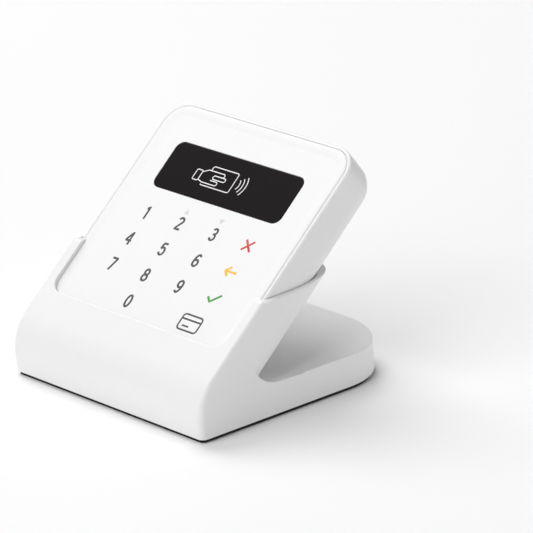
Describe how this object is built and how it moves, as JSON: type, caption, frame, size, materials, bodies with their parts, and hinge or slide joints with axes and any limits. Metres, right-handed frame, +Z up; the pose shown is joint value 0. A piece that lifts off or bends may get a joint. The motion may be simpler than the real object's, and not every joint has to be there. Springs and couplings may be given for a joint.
{
  "type": "card payment terminal",
  "caption": "Small square card reader with a numeric keypad and a slim display, standing tilted in a low white charging cradle with a flat foot.",
  "frame": {"origin": "middle of the bounding box's bottom face, on the surface that the cradle stands on", "axes": "+Z up, -Y towards the front that the keypad faces, +X to the right as seen from the front"},
  "size_m": [0.087, 0.0934, 0.0781],
  "materials": {
    "white_gloss": "glossy moulded ABS",
    "white_satin": "satin film",
    "inner_white": "moulded, untextured",
    "black_gloss": "polished acrylic, black printed behind",
    "black_plastic": "fine texture",
    "black_rubber": "matt silicone",
    "steel": "nickel plated",
    "gold": "gold plated",
    "board_green": "solder mask",
    "amber_foil": "polyimide film over copper",
    "silver_foil": "laminated pouch"
  },
  "bodies": {
    "cradle": {"cradle_shell": "white_gloss", "base_plate": "black_plastic", "sole_pad": "black_rubber", "ballast_plate": "steel", "cradle_board": "board_green", "cradle_usb_socket": "steel", "contact_ribbon": "amber_foil", "contact_block": "black_plastic", "base_screw_1": "steel", "base_screw_2": "steel", "base_screw_3": "steel", "base_screw_4": "steel"},
    "terminal": {"rear_casing": "white_gloss", "front_frame": "inner_white", "face_skin": "white_satin", "display_window": "black_gloss", "display_module": "black_plastic", "nfc_antenna": "amber_foil", "dome_sheet": "steel", "main_board": "board_green", "side_switch": "black_plastic", "chip_reader_cover": "black_plastic", "chip_reader_rails": "black_plastic", "chip_reader_base": "black_plastic", "chip_contacts": "gold", "battery_cell": "silver_foil", "backup_cell": "steel", "buzzer": "black_plastic", "contact_board": "board_green", "terminal_usb_socket": "steel", "charge_pad_1": "gold", "charge_pad_2": "gold", "charge_pad_3": "gold", "charge_pad_4": "gold", "casing_screw_1": "steel", "casing_screw_2": "steel", "casing_screw_3": "steel", "casing_screw_4": "steel"},
    "power_button": {"power_button": "inner_white"},
    "key_1": {"key_1": "inner_white"},
    "key_2": {"key_2": "inner_white"},
    "key_3": {"key_3": "inner_white"},
    "key_cancel": {"key_cancel": "inner_white"},
    "key_4": {"key_4": "inner_white"},
    "key_5": {"key_5": "inner_white"},
    "key_6": {"key_6": "inner_white"},
    "key_back": {"key_back": "inner_white"},
    "key_7": {"key_7": "inner_white"},
    "key_8": {"key_8": "inner_white"},
    "key_9": {"key_9": "inner_white"},
    "key_confirm": {"key_confirm": "inner_white"},
    "key_0": {"key_0": "inner_white"},
    "charge_pin_1": {"charge_pin_1": "gold"},
    "charge_pin_2": {"charge_pin_2": "gold"},
    "charge_pin_3": {"charge_pin_3": "gold"},
    "charge_pin_4": {"charge_pin_4": "gold"}
  },
  "joints": [
    {"name": "terminal_lift", "type": "slide", "parent": "cradle", "child": "terminal", "axis": [0, 0.7455, 0.6665], "range_m": [0, 0.06]},
    {"name": "key_1_press", "type": "slide", "parent": "terminal", "child": "key_1", "axis": [0, -0.6665, 0.7455], "range_m": [-0.00045, 0], "stiffness_N_per_m": 1500},
    {"name": "key_2_press", "type": "slide", "parent": "terminal", "child": "key_2", "axis": [0, -0.6665, 0.7455], "range_m": [-0.00045, 0], "stiffness_N_per_m": 1500},
    {"name": "key_3_press", "type": "slide", "parent": "terminal", "child": "key_3", "axis": [0, -0.6665, 0.7455], "range_m": [-0.00045, 0], "stiffness_N_per_m": 1500},
    {"name": "key_cancel_press", "type": "slide", "parent": "terminal", "child": "key_cancel", "axis": [0, -0.6665, 0.7455], "range_m": [-0.00045, 0], "stiffness_N_per_m": 1500},
    {"name": "key_4_press", "type": "slide", "parent": "terminal", "child": "key_4", "axis": [0, -0.6665, 0.7455], "range_m": [-0.00045, 0], "stiffness_N_per_m": 1500},
    {"name": "key_5_press", "type": "slide", "parent": "terminal", "child": "key_5", "axis": [0, -0.6665, 0.7455], "range_m": [-0.00045, 0], "stiffness_N_per_m": 1500},
    {"name": "key_6_press", "type": "slide", "parent": "terminal", "child": "key_6", "axis": [0, -0.6665, 0.7455], "range_m": [-0.00045, 0], "stiffness_N_per_m": 1500},
    {"name": "key_back_press", "type": "slide", "parent": "terminal", "child": "key_back", "axis": [0, -0.6665, 0.7455], "range_m": [-0.00045, 0], "stiffness_N_per_m": 1500},
    {"name": "key_7_press", "type": "slide", "parent": "terminal", "child": "key_7", "axis": [0, -0.6665, 0.7455], "range_m": [-0.00045, 0], "stiffness_N_per_m": 1500},
    {"name": "key_8_press", "type": "slide", "parent": "terminal", "child": "key_8", "axis": [0, -0.6665, 0.7455], "range_m": [-0.00045, 0], "stiffness_N_per_m": 1500},
    {"name": "key_9_press", "type": "slide", "parent": "terminal", "child": "key_9", "axis": [0, -0.6665, 0.7455], "range_m": [-0.00045, 0], "stiffness_N_per_m": 1500},
    {"name": "key_confirm_press", "type": "slide", "parent": "terminal", "child": "key_confirm", "axis": [0, -0.6665, 0.7455], "range_m": [-0.00045, 0], "stiffness_N_per_m": 1500},
    {"name": "key_0_press", "type": "slide", "parent": "terminal", "child": "key_0", "axis": [0, -0.6665, 0.7455], "range_m": [-0.00045, 0], "stiffness_N_per_m": 1500},
    {"name": "power_button_press", "type": "slide", "parent": "terminal", "child": "power_button", "axis": [1, 0, 0], "range_m": [0, 0.0003], "stiffness_N_per_m": 2500},
    {"name": "charge_pin_1_press", "type": "slide", "parent": "cradle", "child": "charge_pin_1", "axis": [0, -0.6665, 0.7455], "range_m": [-0.0006, 0], "stiffness_N_per_m": 400},
    {"name": "charge_pin_2_press", "type": "slide", "parent": "cradle", "child": "charge_pin_2", "axis": [0, -0.6665, 0.7455], "range_m": [-0.0006, 0], "stiffness_N_per_m": 400},
    {"name": "charge_pin_3_press", "type": "slide", "parent": "cradle", "child": "charge_pin_3", "axis": [0, -0.6665, 0.7455], "range_m": [-0.0006, 0], "stiffness_N_per_m": 400},
    {"name": "charge_pin_4_press", "type": "slide", "parent": "cradle", "child": "charge_pin_4", "axis": [0, -0.6665, 0.7455], "range_m": [-0.0006, 0], "stiffness_N_per_m": 400}
  ]
}
